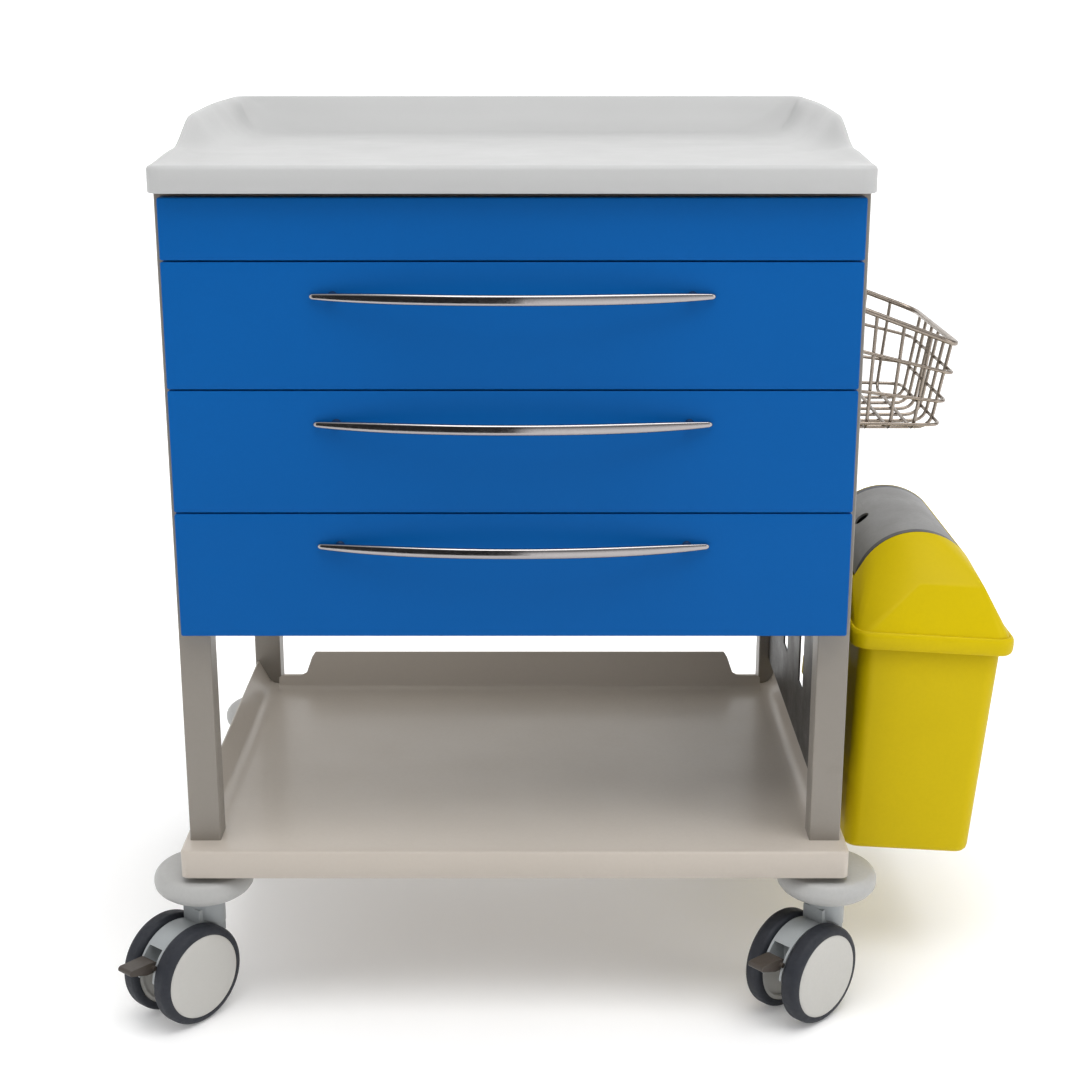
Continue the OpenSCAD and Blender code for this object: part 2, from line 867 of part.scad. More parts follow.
// A dark sheet closes the side between the right legs, and the bin hangs in its slots
module bin_carrier() {
    arm_z = bin_z + bin_h - 60;
    color("dimgray")
        difference() {
            slab([carrier_x, panel_y[0], carrier_z[0]], [carrier_x + carrier_t, panel_y[1], carrier_z[1]]);
            for (y = hook_y)
                slab([carrier_x - 1, bin_y + y - hook_w / 2 - 3, arm_z - 24],
                    [carrier_x + carrier_t + 1, bin_y + y + hook_w / 2 + 3, arm_z + 46]);
        }
}

module place() {
    translate(cabinet_at) children();
}

place() worktop();
place() worktop_core();
place() top_frame();
place() front(3);  // top_fascia
place() side_panel(-1);  // side_panel_left
place() side_panel(1);  // side_panel_right
place() back_panel();
place() cabinet_floor();
place() leg(-leg_x, leg_front_y);  // leg_front_left
place() leg(leg_x, leg_front_y);  // leg_front_right
place() leg(-leg_x, leg_rear_y);  // leg_rear_left
place() leg(leg_x, leg_rear_y);  // leg_rear_right
place() shelf();
place() front(0);  // drawer_front_bottom
place() front(1);  // drawer_front_middle
place() front(2);  // drawer_front_top
place() drawer_box(0);  // drawer_box_bottom
place() drawer_box(1);  // drawer_box_middle
place() drawer_box(2);  // drawer_box_top
place() handle(0);  // handle_bottom
place() handle(1);  // handle_middle
place() handle(2);  // handle_top
place() handle_screws(0);  // handle_screws_bottom
place() handle_screws(1);  // handle_screws_middle
place() handle_screws(2);  // handle_screws_top
place() slide_outer_rails();
place() slide_middle_rails(0);  // slide_middle_rails_bottom
place() slide_middle_rails(1);  // slide_middle_rails_middle
place() slide_middle_rails(2);  // slide_middle_rails_top
place() slide_inner_rails(0);  // slide_inner_rails_bottom
place() slide_inner_rails(1);  // slide_inner_rails_middle
place() slide_inner_rails(2);  // slide_inner_rails_top
place() caster_stems();
place() caster_bumpers();
place() caster_hood(-1, 0);  // caster_hood_front_left
place() caster_hood(1, 0);  // caster_hood_front_right
place() caster_hood(-1, 1);  // caster_hood_rear_left
place() caster_hood(1, 1);  // caster_hood_rear_right
place() caster_axle(-1, 0);  // caster_axle_front_left
place() caster_axle(1, 0);  // caster_axle_front_right
place() caster_axle(-1, 1);  // caster_axle_rear_left
place() caster_axle(1, 1);  // caster_axle_rear_right
place() tyres(-1, 0);  // tyres_front_left
place() tyres(1, 0);  // tyres_front_right
place() tyres(-1, 1);  // tyres_rear_left
place() tyres(1, 1);  // tyres_rear_right
place() wheel_discs(-1, 0);  // wheel_discs_front_left
place() wheel_discs(1, 0);  // wheel_discs_front_right
place() wheel_discs(-1, 1);  // wheel_discs_rear_left
place() wheel_discs(1, 1);  // wheel_discs_rear_right
place() brake_pedal(-1, 0);  // brake_pedal_front_left
place() brake_pedal(1, 0);  // brake_pedal_front_right
place() brake_pedal(-1, 1);  // brake_pedal_rear_left
place() brake_pedal(1, 1);  // brake_pedal_rear_right
place() wire_basket();
place() basket_screws();
place() bin_body();
place() bin_hood();
place() bin_flap();
place() bin_carrier();
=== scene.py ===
"""A wheeled ward trolley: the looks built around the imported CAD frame."""
import json
import math

import bmesh
import bpy
from mathutils import Matrix, Vector


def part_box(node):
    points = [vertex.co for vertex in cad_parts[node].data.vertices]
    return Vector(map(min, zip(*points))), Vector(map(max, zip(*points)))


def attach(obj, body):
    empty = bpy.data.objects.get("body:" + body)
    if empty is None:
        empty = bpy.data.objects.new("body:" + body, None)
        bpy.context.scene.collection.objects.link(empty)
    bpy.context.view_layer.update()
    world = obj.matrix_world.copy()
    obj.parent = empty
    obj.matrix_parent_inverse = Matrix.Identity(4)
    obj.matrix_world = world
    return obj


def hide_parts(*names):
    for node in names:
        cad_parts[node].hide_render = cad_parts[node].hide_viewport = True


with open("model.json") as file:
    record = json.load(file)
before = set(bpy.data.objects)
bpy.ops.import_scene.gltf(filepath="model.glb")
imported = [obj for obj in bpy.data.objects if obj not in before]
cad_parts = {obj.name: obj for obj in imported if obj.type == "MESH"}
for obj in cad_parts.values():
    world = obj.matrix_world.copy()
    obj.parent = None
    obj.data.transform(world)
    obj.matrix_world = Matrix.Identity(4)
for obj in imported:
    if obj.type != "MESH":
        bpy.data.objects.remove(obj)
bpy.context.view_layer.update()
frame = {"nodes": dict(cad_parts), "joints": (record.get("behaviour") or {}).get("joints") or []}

MM = 0.001
JOINTS = {j["name"]: j for j in frame["joints"]}
LEVELS = ("bottom", "middle", "top")
CORNERS = ("front_left", "front_right", "rear_left", "rear_right")

front_lo, front_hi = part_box("drawer_front_top")
MID_X = (front_lo.x + front_hi.x) / 2
FRONT_Y = front_lo.y


def at(x, y, z):
    """A point in millimetres from the cabinet's middle, its front face and the floor."""
    return Vector((MID_X + x * MM, FRONT_Y + y * MM, z * MM))


# ---------------------------------------------------------------- mesh tools

def lerp(a, b, t):
    return a + (b - a) * t


def smooth(t):
    t = min(max(t, 0.0), 1.0)
    return t * t * (3 - 2 * t)


def rect_ring(x0, x1, y0, y1, r, sides=(1, 1), corner=6):
    """Points round a rectangle with round corners, with that many steps along x and along y."""
    points = []
    centres = ((x1 - r, y0 + r, -90), (x1 - r, y1 - r, 0), (x0 + r, y1 - r, 90), (x0 + r, y0 + r, 180))
    for i, (cx, cy, start) in enumerate(centres):
        for k in range(corner + 1):
            a = math.radians(start + 90 * k / corner)
            points.append((cx + r * math.cos(a), cy + r * math.sin(a)))
        nx, ny, turn = centres[(i + 1) % 4]
        a = math.radians(turn)
        end = (nx + r * math.cos(a), ny + r * math.sin(a))
        here = points[-1]
        steps = sides[1] if i % 2 == 0 else sides[0]
        for k in range(1, steps):
            points.append((lerp(here[0], end[0], k / steps), lerp(here[1], end[1], k / steps)))
    return points


def loft(bm, rings, caps=(True, True), closed=False):
    """Faces between rings of the same number of points."""
    made = [[bm.verts.new(p) for p in ring] for ring in rings]
    count = len(made[0])
    pairs = list(zip(made, made[1:])) + ([(made[-1], made[0])] if closed else [])
    for a, b in pairs:
        for i in range(count):
            j = (i + 1) % count
            bm.faces.new((a[i], a[j], b[j], b[i]))
    if not closed:
        if caps[0]:
            bm.faces.new(list(reversed(made[0])))
        if caps[1]:
            bm.faces.new(made[-1])
    return made


def rounded_path(points, radius, steps=5, closed=False):
    """The path with each bend replaced by a curve."""
    out = []
    count = len(points)
    for i, p in enumerate(points):
        if not closed and i in (0, count - 1):
            out.append(p)
            continue
        a, b = points[i - 1], points[(i + 1) % count]
        da, db = (a - p), (b - p)
        reach = min(radius, da.length * 0.48, db.length * 0.48)
        start, end = p + da.normalized() * reach, p + db.normalized() * reach
        for k in range(steps + 1):
            t = k / steps
            out.append(start * (1 - t) ** 2 + p * (2 * t * (1 - t)) + end * t ** 2)
    return out


def tube(bm, path, radius, sides=10, closed=False):
    """A round wire along the path, with domed ends."""
    count = len(path)
    tangents = []
    for i in range(count):
        a = path[i - 1] if (i or closed) else path[0]
        b = path[(i + 1) % count] if (i < count - 1 or closed) else path[-1]
        tangents.append((b - a).normalized())
    side = tangents[0].orthogonal().normalized()
    rings = []
    for p, t in zip(path, tangents):
        side = (side - t * side.dot(t)).normalized()
        up = t.cross(side)
        rings.append([p + (side * math.cos(a) + up * math.sin(a)) * radius
                      for a in (2 * math.pi * k / sides for k in range(sides))])
    if closed:
        loft(bm, rings, closed=True)
        return

    def dome(p, t, ring, sign):
        return [[p + t * sign * radius * h + (q - p) * s for q in ring]
                for h, s in ((0.5, 0.87), (0.85, 0.5))]

    first = dome(path[0], tangents[0], rings[0], -1)
    last = dome(path[-1], tangents[-1], rings[-1], 1)
    loft(bm, list(reversed(first)) + rings + last)


def lathe(bm, centre, axis, profile, sides=32):
    """A closed turned shape: profile is (distance along the axis, radius)."""
    side = axis.orthogonal().normalized()
    up = axis.cross(side)
    rings = []
    for along, r in profile:
        rings.append([centre + axis * along + (side * math.cos(a) + up * math.sin(a)) * r
                      for a in (2 * math.pi * k / sides for k in range(sides))])
    loft(bm, rings)


def prism(bm, outline, start, along):
    """A closed solid: an outline of points swept along a vector."""
    a = [bm.verts.new(p + start) for p in outline]
    b = [bm.verts.new(p + start + along) for p in outline]
    bm.faces.new(a)
    bm.faces.new(list(reversed(b)))
    for i in range(len(a)):
        j = (i + 1) % len(a)
        bm.faces.new((a[i], b[i], b[j], a[j]))


def soften(bm, width, angle=30, segments=3):
    """Rounds the sharp edges."""
    sharp = [e for e in bm.edges if len(e.link_faces) == 2 and e.calc_face_angle(0) > math.radians(angle)]
    bmesh.ops.bevel(bm, geom=sharp, offset=width, segments=segments, profile=0.5, affect="EDGES",
                    clamp_overlap=True)


def object_of(name, bm, sharp_angle=40):
    bmesh.ops.recalc_face_normals(bm, faces=bm.faces[:])
    for f in bm.faces:
        f.smooth = True
    for e in bm.edges:
        e.smooth = len(e.link_faces) == 2 and e.calc_face_angle(0) < math.radians(sharp_angle)
    mesh = bpy.data.meshes.new(name)
    bm.to_mesh(mesh)
    bm.free()
    obj = bpy.data.objects.new(name, mesh)
    bpy.context.scene.collection.objects.link(obj)
    return obj


def piece(name, bm, material, body, replaces=(), sharp_angle=40):
    obj = object_of(name, bm, sharp_angle)
    obj.data.materials.append(material)
    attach(obj, body)
    if replaces:
        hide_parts(*replaces)
    return obj


def cut(target, *tools):
    """Takes the tools' shapes away from the target, and removes the tools."""
    for tool in tools:
        m = target.modifiers.new("cut", "BOOLEAN")
        m.operation, m.solver, m.object = "DIFFERENCE", "EXACT", tool
    bpy.context.view_layer.update()
    made = bpy.data.meshes.new_from_object(target.evaluated_get(bpy.context.evaluated_depsgraph_get()))
    target.modifiers.clear()
    target.data = made
    for tool in tools:
        bpy.data.objects.remove(tool)


# ---------------------------------------------------------------- materials

class Graph:
    """Short names for building one material's nodes."""

    def __init__(self, name):
        self.material = bpy.data.materials.new(name)
        self.material.use_nodes = True
        self.nodes = self.material.node_tree.nodes
        self.links = self.material.node_tree.links
        self.shader = self.nodes["Principled BSDF"]
        self.place = self.add("ShaderNodeTexCoord").outputs["Object"]

    def add(self, kind, **settings):
        node = self.nodes.new(kind)
        for key, value in settings.items():
            setattr(node, key, value)
        return node

    def join(self, out, into):
        self.links.new(out, into)

    def stretched(self, scale, turn=(0, 0, 0)):
        node = self.add("ShaderNodeMapping")
        node.inputs["Scale"].default_value = scale
        node.inputs["Rotation"].default_value = turn
        self.join(self.place, node.inputs["Vector"])
        return node.outputs["Vector"]

    def noise(self, scale, detail=3.0, rough=0.5, where=None, distortion=0.0):
        node = self.add("ShaderNodeTexNoise")
        node.inputs["Scale"].default_value = scale
        node.inputs["Detail"].default_value = detail
        node.inputs["Roughness"].default_value = rough
        node.inputs["Distortion"].default_value = distortion
        self.join(where or self.place, node.inputs["Vector"])
        return node.outputs["Fac"]

    def cells(self, scale, where=None):
        node = self.add("ShaderNodeTexVoronoi")
        node.inputs["Scale"].default_value = scale
        self.join(where or self.place, node.inputs["Vector"])
        return node.outputs["Distance"]

    def span(self, value, low, high, to_low=0.0, to_high=1.0):
        node = self.add("ShaderNodeMapRange")
        ends = (("From Min", low), ("From Max", high), ("To Min", to_low), ("To Max", to_high))
        for key, number in ends:
            node.inputs[key].default_value = number
        self.join(value, node.inputs["Value"])
        return node.outputs["Result"]

    def math(self, operation, a, b=None):
        node = self.add("ShaderNodeMath", operation=operation)
        for i, value in enumerate((a, b)):
            if value is None:
                continue
            if isinstance(value, (int, float)):
                node.inputs[i].default_value = value
            else:
                self.join(value, node.inputs[i])
        return node.outputs["Value"]

    def blend(self, factor, a, b):
        node = self.add("ShaderNodeMix", data_type="RGBA")
        self.join(factor, node.inputs["Factor"])
        for key, value in (("A", a), ("B", b)):
            socket = [s for s in node.inputs if s.name == key and s.type == "RGBA"][0]
            if isinstance(value, tuple):
                socket.default_value = (*value, 1.0)
            else:
                self.join(value, socket)
        return [s for s in node.outputs if s.type == "RGBA"][0]

    def bump(self, height, depth, strength=1.0, over=None):
        node = self.add("ShaderNodeBump")
        node.inputs["Strength"].default_value = strength
        node.inputs["Distance"].default_value = depth
        self.join(height, node.inputs["Height"])
        if over:
            self.join(over, node.inputs["Normal"])
        return node.outputs["Normal"]

    def worn_edges(self, radius, breakup=60.0):
        """Near 1 on the outer edges, broken up by noise."""
        round_normal = self.add("ShaderNodeBevel", samples=4)
        round_normal.inputs["Radius"].default_value = radius
        flat = self.add("ShaderNodeNewGeometry")
        dot = self.add("ShaderNodeVectorMath", operation="DOT_PRODUCT")
        self.join(round_normal.outputs["Normal"], dot.inputs[0])
        self.join(flat.outputs["Normal"], dot.inputs[1])
        edge = self.span(dot.outputs["Value"], 0.985, 0.86)
        return self.math("MULTIPLY", edge, self.span(self.noise(breakup, 5.0, 0.65), 0.42, 0.62))


# colour of the painted shadow laid on a finish past its ends
PAINTED_SHADOW_BLACK = (0.012, 0.012, 0.014)


def shade(colour, factor):
    return tuple(min(c * factor, 1.0) for c in colour)


def surface(name, colour, rough, *, metallic=0.0, tone=0.05, tone_scale=4.0, grain=0.0,
            grain_scale=1200.0, flow=0.0, flow_scale=160.0, smudge=0.08, scratch=0.0,
            scratch_scale=(6, 260, 60), wear=None, wear_amount=0.5, wear_radius=0.0012, coat=0.0,
            coat_rough=0.15, specular=0.5, ends=None):
    """A painted, moulded or plated finish, with its tone, texture, gloss and wear from its nodes.

    ends is a middle and a half length along the object's y. Past it, a painted shadow makes the finish
    nearly black.
    """
    g = Graph(name)
    s = g.shader.inputs
    s["Metallic"].default_value = metallic
    s["Specular IOR Level"].default_value = specular
    s["Coat Weight"].default_value = coat
    s["Coat Roughness"].default_value = coat_rough
    base = g.blend(g.span(g.noise(tone_scale, 4.0), 0.32, 0.68),
                   shade(colour, 1 - tone), shade(colour, 1 + tone))
    fine = g.noise(grain_scale * 0.35, 2.0)
    base = g.blend(g.span(fine, 0.35, 0.75, 0.0, 0.35), base, shade(colour, 1 - 1.6 * tone))
    # painted shadow: past the half length along y the colour turns nearly black, standing in for the shade
    # in the gap at the ends
    if ends:
        split = g.add("ShaderNodeSeparateXYZ")
        g.join(g.place, split.inputs[0])
        away = g.math("ABSOLUTE", g.math("SUBTRACT", split.outputs["Y"], ends[0]))
        base = g.blend(g.span(away, ends[1] - 0.0005, ends[1]), base, PAINTED_SHADOW_BLACK)
    gloss = g.span(g.noise(tone_scale * 6, 6.0, 0.6), 0.3, 0.7, rough - smudge, rough + smudge)
    gloss = g.math("ADD", gloss, g.span(fine, 0.3, 0.7, -0.02, 0.03))
    normal = None
    if flow:
        normal = g.bump(g.noise(flow_scale, 2.0), flow, 0.6)
    if grain:
        normal = g.bump(g.noise(grain_scale, 3.0, 0.55), grain, 0.7, normal)
    if scratch:
        line = g.span(g.noise(1.0, 3.0, 0.6, g.stretched(scratch_scale, (0.3, 0.2, 0.7))), 0.66, 0.74)
        line = g.math("MULTIPLY", line, g.span(g.noise(11.0, 2.0), 0.5, 0.62))
        gloss = g.math("ADD", gloss, g.math("MULTIPLY", line, 0.22))
        normal = g.bump(line, -scratch, 0.6, normal)
    if wear:
        worn = g.math("MULTIPLY", g.worn_edges(wear_radius), wear_amount)
        base = g.blend(worn, base, wear)
        gloss = g.math("ADD", gloss, g.math("MULTIPLY", worn, 0.15))
    g.join(base, s["Base Color"])
    g.join(gloss, s["Roughness"])
    if normal:
        g.join(normal, s["Normal"])
    return g.material


def brushed(name, colour, rough, direction, depth=0.00002):
    """Drawn or brushed metal with fine lines along one direction."""
    g = Graph(name)
    s = g.shader.inputs
    s["Metallic"].default_value = 1.0
    lines = g.noise(1.0, 4.0, 0.6, g.stretched(direction))
    patina = g.noise(38.0, 5.0, 0.6)
    base = g.blend(g.span(patina, 0.35, 0.7), shade(colour, 0.86), shade(colour, 1.06))
    g.join(g.blend(g.span(lines, 0.3, 0.7, 0.0, 0.4), base, shade(colour, 0.75)), s["Base Color"])
    g.join(g.math("ADD", g.span(lines, 0.3, 0.7, rough - 0.06, rough + 0.08),
                  g.span(patina, 0.4, 0.7, 0.0, 0.08)), s["Roughness"])
    g.join(g.bump(lines, depth, 0.5), s["Normal"])
    return g.material


def board(name):
    """Raw particle board: pressed chips of several tones."""
    g = Graph(name)
    s = g.shader.inputs
    chips = g.cells(260.0, g.stretched((1, 1, 2.5)))
    tone = g.noise(420.0, 4.0, 0.7)
    base = g.blend(g.span(tone, 0.35, 0.65), (0.40, 0.27, 0.15), (0.66, 0.50, 0.32))
    g.join(g.blend(g.span(chips, 0.0, 0.5, 0.5, 0.0), base, (0.24, 0.15, 0.08)), s["Base Color"])
    g.join(g.span(tone, 0.3, 0.7, 0.7, 0.92), s["Roughness"])
    g.join(g.bump(chips, 0.0004, 0.6), s["Normal"])
    return g.material


ABS = surface("abs_moulding", (0.440, 0.442, 0.440), 0.42, tone=0.025, tone_scale=2.5, grain=0.00002,
              grain_scale=2600.0, flow=0.00005, flow_scale=45.0, smudge=0.06, wear=(0.50, 0.49, 0.47),
              wear_amount=0.15, specular=0.35)
BLUE = surface("blue_powder_coat", (0.0006, 0.087, 0.318), 0.42, tone=0.05, tone_scale=2.2, grain=0.00005,
               grain_scale=950.0, flow=0.00008, flow_scale=210.0, smudge=0.06, scratch=0.00002,
               wear=(0.01, 0.14, 0.43), wear_amount=0.35, specular=0.08)
PANEL = surface("panel_powder_coat", (0.62, 0.62, 0.60), 0.48, tone=0.03, grain=0.00006,
                grain_scale=900.0, flow=0.00008, flow_scale=200.0, smudge=0.06, scratch=0.00002,
                wear=(0.72, 0.72, 0.70), wear_amount=0.4)
DRAWER = surface("drawer_powder_coat", (0.60, 0.60, 0.58), 0.46, tone=0.03, grain=0.00005,
                 grain_scale=900.0, flow=0.00006, flow_scale=220.0, smudge=0.07, scratch=0.00004,
                 wear=(0.50, 0.50, 0.49), wear_amount=0.4)
FRAME = surface("frame_powder_coat", (0.234, 0.211, 0.182), 0.40, tone=0.04, grain=0.00006,
                grain_scale=1000.0, flow=0.00007, flow_scale=230.0, smudge=0.06, scratch=0.00002,
                wear=(0.46, 0.44, 0.41), wear_amount=0.4)
SHELF = surface("shelf_gloss_enamel", (0.495, 0.445, 0.390), 0.36, tone=0.03, tone_scale=3.0,
                grain=0.00002, grain_scale=700.0, flow=0.00005, flow_scale=90.0, smudge=0.05,
                scratch=0.00004, wear=(0.42, 0.38, 0.33), wear_amount=0.3, coat=0.14, coat_rough=0.14,
                specular=0.22)
CHROME = surface("chrome_plate", (0.34, 0.32, 0.32), 0.15, metallic=1.0, tone=0.03, tone_scale=14.0,
                 grain=0.0, flow=0.00003, flow_scale=60.0, smudge=0.03, scratch=0.00001,
                 wear=(0.34, 0.32, 0.31), wear_amount=0.3, wear_radius=0.0006)
ZINC = brushed("bright_zinc", (0.62, 0.64, 0.66), 0.34, (900, 25, 900))
SCREW = brushed("zinc_screw", (0.66, 0.66, 0.66), 0.32, (900, 900, 200))
STEEL = brushed("turned_steel", (0.60, 0.60, 0.60), 0.30, (300, 300, 1500))
BUMPER = surface("bumper_polyamide", (0.400, 0.398, 0.388), 0.50, tone=0.05, grain=0.00010,
                 grain_scale=850.0, smudge=0.08, scratch=0.00006, wear=(0.44, 0.43, 0.42),
                 wear_amount=0.7, wear_radius=0.004)
HOOD = surface("caster_polyamide", (0.330, 0.350, 0.358), 0.42, tone=0.04, grain=0.00008,
               grain_scale=900.0, smudge=0.08, scratch=0.00005, wear=(0.42, 0.44, 0.44), wear_amount=0.5)
COVER = surface("wheel_cover_plastic", (0.500, 0.490, 0.462), 0.38, tone=0.04, grain=0.00006,
                grain_scale=1000.0, smudge=0.08, scratch=0.00008, scratch_scale=(40, 300, 300),
                wear=(0.36, 0.35, 0.33), wear_amount=0.6)
TYRE = surface("tyre_rubber", (0.0200, 0.0225, 0.0300), 0.62, tone=0.15, tone_scale=30.0, grain=0.00012,
               grain_scale=700.0, smudge=0.10, scratch=0.00006, wear=(0.075, 0.075, 0.08),
               wear_amount=0.6, wear_radius=0.003, specular=0.35)
PEDAL = surface("pedal_polyamide", (0.055, 0.044, 0.036), 0.50, tone=0.10, grain=0.00010,
                grain_scale=800.0, smudge=0.08, scratch=0.00006, wear=(0.14, 0.12, 0.10), wear_amount=0.7)
WIRE = surface("basket_nickel_wire", (0.30, 0.255, 0.215), 0.26, metallic=1.0, tone=0.10, tone_scale=40.0,
               flow=0.00004, flow_scale=300.0, smudge=0.08, wear=(0.18, 0.15, 0.12), wear_amount=0.4,
               wear_radius=0.0008)
YELLOW = surface("yellow_polypropylene", (0.565, 0.425, 0.0008), 0.42, tone=0.04, tone_scale=5.0,
                 grain=0.00007, grain_scale=780.0, flow=0.00010, flow_scale=55.0, smudge=0.06,
                 scratch=0.00006, wear=(0.70, 0.53, 0.01), wear_amount=0.35, wear_radius=0.002,
                 specular=0.10)
# the flap's two ends are painted nearly black past 85.5 mm from its middle along y: a painted shadow for
# the dark gap between the flap and the hood
flap_y = [v.co.y for v in frame["nodes"]["bin_flap"].data.vertices]
FLAP_PAINTED_SHADOW_BANDS = ((max(flap_y) + min(flap_y)) / 2, 85.5 * MM)
FLAP = surface("flap_polypropylene", (0.176, 0.173, 0.169), 0.44, tone=0.05, grain=0.00008,
               grain_scale=800.0, smudge=0.07, scratch=0.00008, scratch_scale=(60, 6, 260),
               wear=(0.36, 0.36, 0.35), wear_amount=0.2, ends=FLAP_PAINTED_SHADOW_BANDS)
# the carrier plate's near-black colour is a dark-grey coat with the shade between the right legs painted
# into it
CARRIER_WITH_PAINTED_SHADE = surface("carrier_coat_and_painted_shade", (0.026, 0.023, 0.019), 0.46, tone=0.10, grain=0.00007,
                  grain_scale=900.0, flow=0.00006, flow_scale=200.0, smudge=0.08, scratch=0.00005,
                  wear=(0.10, 0.09, 0.08), wear_amount=0.5)
BOARD = board("particle_board")

# ---------------------------------------------------------------- CAD nodes that stay

STAY = {
    "worktop_core": (BOARD, 0.4), "top_frame": (FRAME, 1.5),
    "side_panel_left": (PANEL, 0.6), "side_panel_right": (PANEL, 0.6), "back_panel": (PANEL, 0.6),
    "cabinet_floor": (PANEL, 0.5), "slide_outer_rails": (ZINC, 0.4), "caster_stems": (STEEL, 0.6),
    "caster_bumpers": (BUMPER, 1.5), "basket_screws": (SCREW, 0.6), "bin_flap": (FLAP, 0.7),
    "bin_carrier": (CARRIER_WITH_PAINTED_SHADE, 0.7),
}
for level in LEVELS:
    STAY["drawer_box_" + level] = (DRAWER, 0.5)
    STAY["handle_screws_" + level] = (SCREW, 0.5)
    STAY["slide_middle_rails_" + level] = (ZINC, 0.4)
    STAY["slide_inner_rails_" + level] = (ZINC, 0.4)
for corner in CORNERS:
    STAY["leg_" + corner] = (FRAME, 2.0)
    STAY["caster_hood_" + corner] = (HOOD, 1.6)
    STAY["caster_axle_" + corner] = (STEEL, 0.4)
    STAY["tyres_" + corner] = (TYRE, 0.5)
    STAY["wheel_discs_" + corner] = (COVER, 0.8)
    STAY["brake_pedal_" + corner] = (PEDAL, 1.2)


def dress(name, material, radius):
    """Gives a CAD node its material, round edges and clean shading."""
    node = frame["nodes"][name]
    node.data.materials.clear()
    node.data.materials.append(material)
    weld = node.modifiers.new("weld", "WELD")
    weld.merge_threshold = 0.00001
    edges = node.modifiers.new("edges", "BEVEL")
    edges.width = radius * MM
    edges.segments = 3
    edges.limit_method = "ANGLE"
    edges.angle_limit = math.radians(35)
    edges.use_clamp_overlap = True
    normals = node.modifiers.new("normals", "WEIGHTED_NORMAL")
    normals.weight = 90
    normals.keep_sharp = False


for name, (material, radius) in STAY.items():
    dress(name, material, radius)

# ---------------------------------------------------------------- worktop

RIM_H = 37
RIM_START, RIM_BEND, RIM_RISE, RIM_FULL = 0, 108, 185, 375
WORKTOP_R = 14


def worktop():
    """One moulding: a hollow underside, a lip all round and a rim that rises in an S towards the back."""
    lo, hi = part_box("worktop")
    x0, x1, y0, y1 = lo.x, hi.x, lo.y, hi.y
    top = hi.z - RIM_H * MM
    lip = top - lo.z

    def rim_height(y):
        """How much of the rim's full height there is, that far behind the drawer fronts."""
        y = (y - FRONT_Y) / MM
        last = min(max((y - RIM_RISE) / (RIM_FULL - RIM_RISE), 0), 1)
        return (0.19 * smooth((y - RIM_START) / 110) ** 0.8 + 0.67 * smooth((y - RIM_BEND) / 90)
                + 0.14 * math.sin(math.pi / 2 * last))

    # each row: inset and height without a rim, then inset and height at the full rim
    profile = (
        (4.0, -4.0, 4.0, -4.0), (4.0, -lip / MM + 0.8, 4.0, -lip / MM + 0.8),
        (3.2, -lip / MM, 3.2, -lip / MM), (0.8, -lip / MM, 0.8, -lip / MM),
        (0.0, -lip / MM + 0.8, 0.0, -lip / MM + 0.8), (0.0, -8.0, 0.0, -8.0), (0.0, -4.6, 0.1, -2.0),
        (0.3, -2.8, 0.4, 9.0), (1.1, -1.3, 1.0, 21.0), (2.4, -0.45, 1.7, 31.0), (4.2, -0.1, 2.8, 35.3),
        (6.0, 0.0, 4.8, 37.0), (8.0, 0.0, 7.2, 36.3), (10.0, 0.0, 9.4, 34.2), (12.5, 0.0, 12.2, 30.0),
        (15.0, 0.0, 15.4, 24.6), (18.5, 0.0, 19.2, 18.6), (22.5, 0.0, 24.0, 12.4), (28.0, 0.0, 30.0, 6.8),
        (36.0, 0.0, 38.0, 2.6), (48.0, 0.0, 48.0, 0.6), (60.0, 0.0, 60.0, 0.0), (72.0, 0.0, 72.0, 0.0),
    )
    sides, corner = (16, 64), 10
    outline = rect_ring(x0, x1, y0, y1, WORKTOP_R * MM, sides, corner)
    rings = []
    for u0, z0, u1, z1 in profile:
        ring = []
        for index, point in enumerate(outline):
            t = rim_height(point[1])
            u = lerp(u0, u1, t) * MM
            if u < 6 * MM:
                r = max(WORKTOP_R * MM - u * 0.4, 8 * MM)
            else:
                r = 11.6 * MM + (u - 6 * MM) * 1.15
            x, y = rect_ring(x0 + u, x1 - u, y0 + u, y1 - u, r, sides, corner)[index]
            ring.append(Vector((x, y, top + lerp(z0, z1, t) * MM)))
        rings.append(ring)
    bm = bmesh.new()
    loft(bm, rings)
    piece("worktop_moulding", bm, ABS, "frame", ["worktop"], 60)


worktop()

# ---------------------------------------------------------------- folded fronts

FRONT_GROWTH = 0.6


def front(node, body):
    """A tray of folded sheet: a flat face, round folds and flanges that run back from it.

    It reaches a little past its node above and below, so that the line to its neighbour is fine.
    """
    lo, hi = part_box(node)
    deep = (hi.y - lo.y) / MM
    above = FRONT_GROWTH if body != "frame" else 0.0
    bm = bmesh.new()
    rings = []
    # inset, depth behind the face and corner radius
    for inset, y, r in (
            (9.0, 0, 1.0), (1.5, 0, 1.2), (1.15, 0.06, 1.4), (0.7, 0.22, 1.6), (0.35, 0.5, 1.8),
            (0.1, 0.9, 2.0), (0.02, 1.4, 2.0), (0, 4.0, 2.0), (0, deep - 0.4, 2.0), (0.35, deep, 1.8),
            (1.15, deep, 1.2), (1.5, deep - 0.4, 1.0), (1.5, 3.4, 1.0), (1.9, 2.2, 1.0), (3.2, 1.55, 1.0),
            (9.0, 1.5, 1.0)):
        ring = rect_ring(lo.x + inset * MM, hi.x - inset * MM, lo.z + (inset - FRONT_GROWTH) * MM,
                         hi.z - (inset - above) * MM, r * MM, (1, 1), 4)
        rings.append([Vector((x, lo.y + y * MM, z)) for x, z in ring])
    loft(bm, rings)
    piece("front_" + node.split("_")[-1], bm, BLUE, body, [node], 60)


front("top_fascia", "frame")
for level in LEVELS:
    front("drawer_front_" + level, "drawer_" + level)

# ---------------------------------------------------------------- lower shelf

